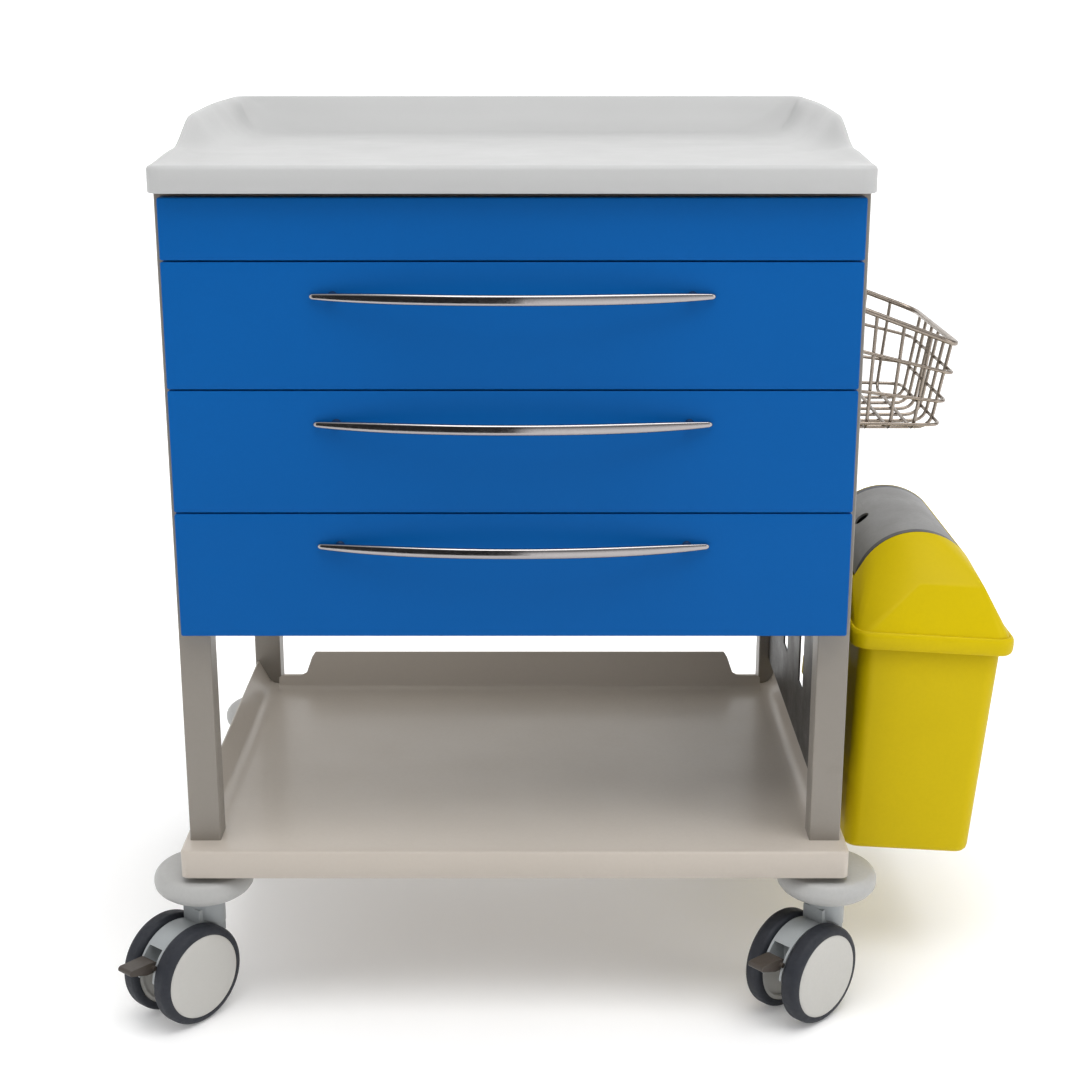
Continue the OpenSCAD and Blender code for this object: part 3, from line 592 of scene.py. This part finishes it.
def shelf():
    """A pressed tray, turned down all round, with side walls and an upstand at the back."""
    lo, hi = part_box("shelf")
    legs = {c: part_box("leg_" + c) for c in CORNERS}
    lip, thick, bend = 28 * MM, 1.5 * MM, 3.0 * MM
    floor_z = lo.z + lip
    bm = bmesh.new()
    rings = []
    for inset, z in ((thick, floor_z - thick), (thick, lo.z + 0.3 * MM), (thick - 0.4 * MM, lo.z),
                     (0.4 * MM, lo.z), (0, lo.z + 0.4 * MM), (0, floor_z - bend),
                     (bend * 0.08, floor_z - bend * 0.6), (bend * 0.3, floor_z - bend * 0.28),
                     (bend * 0.62, floor_z - bend * 0.07), (bend, floor_z), (12 * MM, floor_z)):
        ring = rect_ring(lo.x + inset, hi.x - inset, lo.y + inset, hi.y - inset, 8 * MM, (1, 1), 6)
        rings.append([Vector((x, y, z)) for x, y in ring])
    loft(bm, rings)
    # the side walls rise from the floor in a soft fold
    wall_y = (legs["front_left"][1].y + 1 * MM, legs["rear_left"][0].y - 1 * MM)
    fold = [(-14, 0.05), (-9, 0.25), (-4.5, 1.2), (-1.0, 3.4), (1.4, 6.6), (12.4, 27.6), (12.9, 28.6),
            (13.6, 28.9), (14.2, 28.5), (14.2, 27.6), (3.2, 6.0), (0.6, 2.2), (-3.0, -0.4), (-9, -1.0),
            (-14, -1.0)]
    for side in (-1, 1):
        base = MID_X + side * 300.8 * MM
        outline = [Vector((base + side * x * MM, 0, floor_z + z * MM)) for x, z in fold]
        prism(bm, outline, Vector((0, wall_y[0], 0)), Vector((0, wall_y[1] - wall_y[0], 0)))
    # the rear upstand leans back and steps down beside the legs
    lean = math.tan(math.radians(20))
    foot = hi.y - 54 * MM
    rise = hi.z - floor_z
    half = legs["rear_right"][0].x - MID_X
    step = [(half, 13), (half - 4 * MM, 15.5), (261 * MM, 16), (255 * MM, 19), (249 * MM, rise / MM - 6),
            (245 * MM, rise / MM)]
    steps = [(-half, 0), (half, 0)] + step + [(-x, z) for x, z in reversed(step)]
    outline = [Vector((MID_X + x, foot + z * MM * lean, floor_z - 0.6 * MM + z * MM)) for x, z in steps]
    outline = [Vector((p.x, p.y, min(p.z, hi.z))) for p in outline]
    prism(bm, outline, Vector((0, 0, 0)), Vector((0, thick, 0)))
    cove = [(-9, 0.05), (-5, 0.5), (-2, 1.8), (0.6, 4.4), (1.9, 4.0), (1, -1), (-9, -1)]
    cove = [Vector((0, foot + y * MM, floor_z + z * MM)) for y, z in cove]
    prism(bm, cove, Vector((MID_X - half, 0, 0)), Vector((2 * half, 0, 0)))
    piece("shelf_tray", bm, SHELF, "frame", ["shelf"], 50)


shelf()

# ---------------------------------------------------------------- bow handles

HANDLE_FOOT = 160


def handle(level):
    """A bowed bar with tapered, round ends, on two turned feet."""
    lo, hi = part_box("handle_" + level)
    half = (hi.x - lo.x) / 2
    mid_z = (lo.z + hi.z) / 2
    out = FRONT_Y - lo.y
    bm = bmesh.new()
    steps = 64
    rings = []
    ends = [1 - math.cos(math.pi / 2 * k / 6) for k in range(1, 7)]
    places = [-1 + 0.02 * e for e in ends] + [lerp(-0.975, 0.975, k / steps) for k in range(steps + 1)]
    places += [1 - 0.02 * e for e in reversed(ends)]
    for t in places:
        x = t * half
        y = -(out - 3 * MM) + (out - 5.5 * MM) * t * t
        slope = 2 * (out - 5.5 * MM) * t / half
        along = Vector((1, slope, 0)).normalized()
        side = Vector((along.y, -along.x, 0))
        tip = max(0.0, (abs(t) - 0.98) / 0.02)
        taper = (1 - 0.52 * abs(t) ** 5) * math.sqrt(max(0.03, 1 - tip * tip))
        high, deep = 5.0 * MM * taper, 3.0 * MM * taper
        ring = []
        for k in range(20):
            a = 2 * math.pi * k / 20
            c, s = math.cos(a), math.sin(a)
            c = math.copysign(abs(c) ** 0.8, c)
            s = math.copysign(abs(s) ** 0.8, s)
            centre = Vector((MID_X + x, FRONT_Y + y, mid_z))
            ring.append(centre + side * (c * deep) + Vector((0, 0, s * high)))
        rings.append(ring)
    loft(bm, rings)
    for sign in (-1, 1):
        x = sign * HANDLE_FOOT * MM
        t = x / half
        y = -(out - 3 * MM) + (out - 5.5 * MM) * t * t
        lathe(bm, Vector((MID_X + x, FRONT_Y - 0.05 * MM, mid_z)), Vector((0, -1, 0)),
              ((0, 4.5 * MM), (0.8 * MM, 4.5 * MM), (1.6 * MM, 3.7 * MM), (-y - 0.4 * MM, 3.3 * MM)), 24)
    piece("bow_handle_" + level, bm, CHROME, "drawer_" + level, ["handle_" + level], 60)


for level in LEVELS:
    handle(level)

# ---------------------------------------------------------------- wire basket

def basket():
    """Wires bent into a trough, three hoops and a thick rim, hung from two hooks with washers."""
    lo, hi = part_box("wire_basket")
    wire, rim = 1.8 * MM, 2.8 * MM
    x0 = lo.x + 4.6 * MM
    y0, y1 = lo.y + rim, hi.y - rim
    out, low_in = 107.6 * MM, 16 * MM
    z_low, z_back, z_front = 565 * MM, 690 * MM, 650 * MM
    z_hook = hi.z - 1.2 * MM
    bm = bmesh.new()

    def rim_z(x):
        return lerp(z_back, z_front, (x - x0) / out)

    mouth = [Vector((x0, y0, z_back)), Vector((x0 + out, y0, z_front)), Vector((x0 + out, y1, z_front)),
             Vector((x0, y1, z_back))]
    tube(bm, rounded_path(mouth, 20 * MM, 7, True), rim, 12, True)
    length = y1 - y0
    for i in range(1, 4):
        x = x0 + (out - low_in) * i / 4
        top_x = x + low_in * i / 4
        path = [Vector((top_x, y0, rim_z(top_x))), Vector((x, y0 + low_in / 2, z_low)),
                Vector((x, y1 - low_in / 2, z_low)), Vector((top_x, y1, rim_z(top_x)))]
        tube(bm, rounded_path(path, 14 * MM), wire, 8)
    for i in range(1, 7):
        t = y0 + length * i / 7
        b = y0 + low_in / 2 + (length - low_in) * i / 7
        z = z_low - 2 * wire
        path = [Vector((x0, t, z_back)), Vector((x0, b, z)), Vector((x0 + out - low_in, b, z)),
                Vector((x0 + out, t, z_front))]
        tube(bm, rounded_path(path, 14 * MM), wire, 8)
    for t in (0.06, 1 / 3, 2 / 3):
        low = low_in * (1 - t)
        xa, xb = x0 - 1.4 * wire, x0 + out - low + 1.4 * wire
        ya, yb = y0 + low / 2 - 1.4 * wire, y1 - low / 2 + 1.4 * wire
        za, zb = lerp(z_low, z_back, t), lerp(z_low, z_front, t)
        ring = [Vector((xa, ya, za)), Vector((xb, ya, zb)), Vector((xb, yb, zb)), Vector((xa, yb, za))]
        tube(bm, rounded_path(ring, 16 * MM, 6, True), wire, 8, True)
    for y in (y0, y1):
        inner = y + (4 * MM if y == y0 else -4 * MM)
        path = [Vector((x0, inner, z_back - 16 * MM)), Vector((x0, inner, z_back)),
                Vector((x0, y, z_hook - 8 * MM)), Vector((x0, y, z_hook))]
        tube(bm, rounded_path(path, 8 * MM), rim * 0.95, 12)
        lathe(bm, Vector((x0 - 2.4 * MM, y, z_hook - 3 * MM)), Vector((1, 0, 0)),
              ((0, 5.2 * MM), (0.5 * MM, 5.8 * MM), (1.6 * MM, 5.8 * MM), (2.1 * MM, 5.2 * MM)), 24)
    piece("basket_wires", bm, WIRE, "frame", ["wire_basket"], 60)


basket()

# ---------------------------------------------------------------- waste bin

BIN_H, BIN_L, BIN_W = 228, 344, 164
TOP_W, TOP_L, LOW_W, LOW_L, LOW_X = 142, 324, 129, 298, 9
FLAP_R, FLAP_HALF, AXIS = 62, 94, (62, 265)
HOOK_DROP, HOOKS_Y, HOOK_W = 60, (-60, 60), 26
up = Vector(JOINTS["bin_hood_lift_off"]["axis"]).normalized()
LEAN = Matrix.Rotation(math.atan2(up.x, up.z), 3, "Y")
BIN_AT = Vector(JOINTS["bin_flap_swing"]["pos_m"]) - LEAN @ Vector((AXIS[0] * MM, 0, AXIS[1] * MM))


def in_bin(x, y, z):
    """A point in millimetres from the lower edge of the bin's wall next to the cabinet."""
    return BIN_AT + LEAN @ Vector((x * MM, y * MM, z * MM))


def bin_ring(z, inset, radius, steps=6):
    """One level of the bin's tapering wall, in from its outer face."""
    t = z / BIN_H
    x = lerp(LOW_X, 0, t)
    w, l = lerp(LOW_W, TOP_W, t), lerp(LOW_L, TOP_L, t)
    ring = rect_ring(x + inset, x + w - inset, inset - l / 2, l / 2 - inset, radius, (4, 4), steps)
    return [in_bin(px, py, z) for px, py in ring]


def bin_body():
    """A tapering tub with a round floor edge and two hooks over the carrier plate."""
    bm = bmesh.new()
    # height, inset and corner radius, up the outside and down the inside
    outer = [bin_ring(z, inset, r) for z, inset, r in (
        (0, 9, 9), (0.3, 5.5, 11), (1.6, 2.4, 13), (4.2, 0.6, 14), (8, 0, 14.5), (60, 0, 15),
        (120, 0, 15.5), (180, 0, 16), (226, 0, 16), (227, 0.5, 15.6))]
    inner = [bin_ring(z, inset, r) for z, inset, r in (
        (227, 2.0, 14.5), (226, 2.5, 14), (120, 2.5, 13.5), (12, 2.5, 12.5), (5, 4.5, 11), (2.6, 10, 8))]
    loft(bm, outer + inner)
    arm = BIN_H - HOOK_DROP
    back = 0.8 - (in_bin(0, 0, arm).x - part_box("bin_body")[0].x) / MM
    for y in HOOKS_Y:
        outline = [(2.6, arm), (2.6, arm + 4), (back + 1, arm + 4), (back, arm + 3), (back, arm - 15),
                   (back + 1, arm - 16), (back + 2.4, arm - 16), (back + 3, arm - 15),
                   (back + 3, arm - 1.2), (back + 4.2, arm)]
        prism(bm, [in_bin(x, y - HOOK_W / 2, z) for x, z in outline], Vector((0, 0, 0)),
              LEAN @ Vector((0, HOOK_W * MM, 0)))
        for rib in (-8, 8):
            side = [(2.6, arm - 14), (2.6, arm), (back + 6, arm)]
            prism(bm, [in_bin(x, y + rib - 1, z) for x, z in side], Vector((0, 0, 0)),
                  LEAN @ Vector((0, 2 * MM, 0)))
    piece("bin_shell", bm, YELLOW, "bin", ["bin_body"], 50)


def hood_solid(name, inset, edge):
    """The hood's whole form: a sloped skirt with a crease, a round crown and a wall beside the cabinet."""
    bm = bmesh.new()
    points = []
    w, l = BIN_W - 8 - 2 * inset, BIN_L - 8 - 2 * inset
    x = (TOP_W - w) / 2
    for z in (BIN_H - (8 if inset else 0), BIN_H + 12):
        points += [(px, py, z) for px, py in rect_ring(x, x + w, -l / 2, l / 2, 16 - inset, (1, 1), 6)]
    for px in (54 + inset, 118 - inset):
        for py in (-(BIN_L / 2 - 22) + inset, BIN_L / 2 - 22 - inset):
            points.append((px, py, BIN_H + 61 - inset))
    wall = AXIS[0] - FLAP_R - 3.2 + inset
    half = FLAP_HALF + 2.2 - inset
    for z in (BIN_H + 14, BIN_H + 46 - inset):
        points += [(wall, -half, z), (wall, half, z)]
    for k in range(33):
        a = math.radians(-4 + 188 * k / 32)
        r = FLAP_R + 0.4 - inset
        for y in (-half, half):
            points.append((AXIS[0] + r * math.cos(a), y, AXIS[1] + r * math.sin(a)))
    for p in points:
        bm.verts.new(in_bin(*p))
    made = bmesh.ops.convex_hull(bm, input=bm.verts[:])
    unused = {v for key in ("geom_interior", "geom_unused") for v in made[key]
              if isinstance(v, bmesh.types.BMVert)}
    bmesh.ops.delete(bm, geom=list(unused), context="VERTS")
    bmesh.ops.dissolve_limit(bm, angle_limit=math.radians(1.0), verts=bm.verts[:], edges=bm.edges[:])
    if edge:
        soften(bm, edge * MM, 16, 4)
    bmesh.ops.triangulate(bm, faces=[f for f in bm.faces if len(f.verts) > 4])
    return object_of(name, bm)


def turned_tool(name, centre_y, half, radius, a0, a1):
    """A wedge about the flap's axis."""
    bm = bmesh.new()
    arc = [math.radians(lerp(a0, a1, k / 24)) for k in range(25)]
    outline = [AXIS] + [(AXIS[0] + radius * math.cos(a), AXIS[1] + radius * math.sin(a)) for a in arc]
    prism(bm, [in_bin(x, centre_y - half, z) for x, z in outline], Vector((0, 0, 0)),
          LEAN @ Vector((0, 2 * half * MM, 0)))
    return object_of(name, bm)


def bin_hood():
    """The hollow hood with its mouth cut open, a rolled rim and two walls for the flap's pins."""
    outer = hood_solid("bin_lid", 0, 1.6)
    inner = hood_solid("hood_inside", 2.5, 0)
    opening = turned_tool("hood_opening", 0, FLAP_HALF + 1.9, FLAP_R + 40, 48, 172)
    cut(outer, inner, opening)
    bm = bmesh.new()
    bm.from_mesh(outer.data)
    bpy.data.objects.remove(outer)
    # the rolled rim
    rings = []
    for k in range(14):
        a = 2 * math.pi * k / 14
        grow = 3.4 * math.cos(a)
        z = BIN_H + 5 + 9.0 * math.copysign(abs(math.sin(a)) ** 0.75, math.sin(a))
        inset = 3.6 - grow
        w, l = BIN_W - 2 * inset, BIN_L - 2 * inset
        x = (TOP_W - w) / 2
        ring = rect_ring(x, x + w, -l / 2, l / 2, 18 - inset, (1, 1), 8)
        rings.append([in_bin(px, py, z) for px, py in ring])
    loft(bm, rings, closed=True)
    # two walls under the roof carry the flap's pins
    for side in (-1, 1):
        y = side * (FLAP_HALF + 3.4)
        outline = [(AXIS[0] + 58 * math.cos(a), AXIS[1] + 58 * math.sin(a))
                   for a in (math.radians(8 + 164 * k / 24) for k in range(25))]
        outline += [(AXIS[0] - 30, AXIS[1] - 10), (AXIS[0] + 30, AXIS[1] - 10)]
        prism(bm, [in_bin(x, y - 1.0, z) for x, z in outline], Vector((0, 0, 0)),
              LEAN @ Vector((0, 2.2 * MM, 0)))
    piece("bin_hood_shell", bm, YELLOW, "bin_hood", ["bin_hood"], 34)


bin_body()
bin_hood()

# ---------------------------------------------------------------- floor, lights and camera

SKY = ((0.0, 1.0), (0.09, 1.0), (0.17, 0.22), (1.0, 0.95))


def stage():
    """A pale floor that curves up behind the object, and a sky that is white at the horizon."""
    g = Graph("studio_floor")
    s = g.shader.inputs
    tone = g.noise(1.4, 4.0)
    g.join(g.blend(g.span(tone, 0.3, 0.7), (0.88, 0.88, 0.88), (0.92, 0.92, 0.92)), s["Base Color"])
    away = g.add("ShaderNodeVectorMath", operation="LENGTH")
    g.join(g.place, away.inputs[0])
    s["Emission Color"].default_value = (1.0, 1.0, 1.0, 1.0)
    g.join(g.span(away.outputs["Value"], 0.35, 1.3, 0.12, 0.48), s["Emission Strength"])
    g.join(g.span(g.noise(30.0, 4.0), 0.3, 0.7, 0.55, 0.7), s["Roughness"])
    g.join(g.bump(g.noise(300.0, 3.0), 0.0002, 0.3), s["Normal"])
    bm = bmesh.new()
    rows = []
    for y, z in [(-9, 0), (9, 0)] + [(9 + 3 * math.sin(a), 3 - 3 * math.cos(a)) for a in
                                     (math.pi / 2 * k / 8 for k in range(1, 9))] + [(12, 14)]:
        rows.append([bm.verts.new((x, y, z)) for x in (-16, 16)])
    for a, b in zip(rows, rows[1:]):
        bm.faces.new((a[0], a[1], b[1], b[0]))
    floor = object_of("studio_floor", bm)
    floor.data.materials.append(g.material)

    world = bpy.data.worlds.new("studio")
    world.use_nodes = True
    bpy.context.scene.world = world
    nodes, links = world.node_tree.nodes, world.node_tree.links
    coord = nodes.new("ShaderNodeTexCoord")
    split = nodes.new("ShaderNodeSeparateXYZ")
    rise = nodes.new("ShaderNodeValToRGB")
    stops = rise.color_ramp.elements
    while len(stops) < len(SKY):
        stops.new(0.5)
    for stop, (height, level) in zip(stops, SKY):
        stop.position = height
        stop.color = (level, level, level, 1.0)
    links.new(coord.outputs["Generated"], split.inputs[0])
    links.new(split.outputs["Z"], rise.inputs["Fac"])
    links.new(rise.outputs["Color"], nodes["Background"].inputs["Strength"])
    nodes["Background"].inputs["Color"].default_value = (1.0, 1.0, 1.0, 1.0)


def softbox(name, place, target, size, power):
    """A rectangular lamp that looks at the target."""
    data = bpy.data.lights.new(name, "AREA")
    data.shape = "RECTANGLE"
    data.size, data.size_y = size
    data.energy = power
    lamp = bpy.data.objects.new(name, data)
    bpy.context.scene.collection.objects.link(lamp)
    lamp.location = place
    lamp.rotation_euler = (Vector(target) - Vector(place)).to_track_quat("-Z", "Y").to_euler()


def flag(name, place, target, size):
    """A dark card that the chrome reflects."""
    bm = bmesh.new()
    look = (Vector(target) - Vector(place)).to_track_quat("-Z", "Y").to_matrix()
    corners = [look @ Vector((x * size[0] / 2, y * size[1] / 2, 0)) + Vector(place)
               for x, y in ((-1, -1), (1, -1), (1, 1), (-1, 1))]
    bm.faces.new([bm.verts.new(c) for c in corners])
    card = object_of(name, bm)
    cloth = surface("flag_cloth", (0.02, 0.02, 0.02), 0.9, grain=0.0004, grain_scale=300.0)
    card.data.materials.append(cloth)
    card.visible_camera = False
    card.visible_shadow = False
    card.visible_diffuse = False


stage()
centre = (MID_X, FRONT_Y + 0.2, 0.45)
softbox("key_above", (0.3, -1.0, 3.1), centre, (2.6, 1.8), 50)
softbox("fill_right", (2.8, -1.5, 1.5), centre, (1.4, 2.0), 15)
softbox("fill_left", (-2.8, -1.2, 1.8), centre, (1.4, 2.0), 8)
flag("dark_flag", (-0.72, -1.25, 0.75), (-0.72, 0.0, 0.75), (1.38, 1.5))

CAMERA_AT = (24.5, -1627, 962)
CAMERA_DOWN = 16.1
camera_data = bpy.data.cameras.new("camera")
camera_data.sensor_width = 36.0
camera_data.lens = 61.17
camera = bpy.data.objects.new("camera", camera_data)
bpy.context.scene.collection.objects.link(camera)
camera.location = at(*CAMERA_AT)
camera.rotation_euler = (math.radians(90 - CAMERA_DOWN), 0, 0)
bpy.context.scene.camera = camera

bpy.context.scene.view_settings.view_transform = "Standard"
